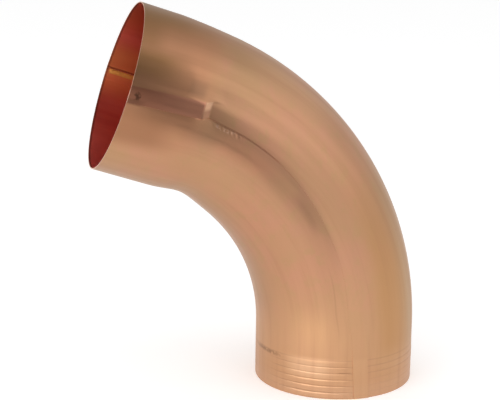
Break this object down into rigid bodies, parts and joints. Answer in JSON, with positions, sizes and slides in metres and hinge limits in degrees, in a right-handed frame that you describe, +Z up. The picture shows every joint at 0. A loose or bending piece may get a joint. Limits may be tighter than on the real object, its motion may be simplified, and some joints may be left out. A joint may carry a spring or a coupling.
{
  "type": "downspout elbow",
  "caption": "Copper downpipe elbow: a smooth round bend with a plain socket at the upper end, a beaded spigot at the lower end and brazed lap seams along both sides.",
  "frame": {"origin": "centre of the spigot's end ring, on the axis of the spigot", "axes": "+Z up along the spigot into the elbow; -X is the side towards which the elbow bends; the XZ plane is its plane of symmetry"},
  "size_m": [0.2057, 0.1044, 0.2384],
  "materials": {
    "copper": "bare copper sheet, satin, mill finish with faint forming marks"
  },
  "bodies": {
    "root": {"elbow": "copper"}
  },
  "joints": []
}
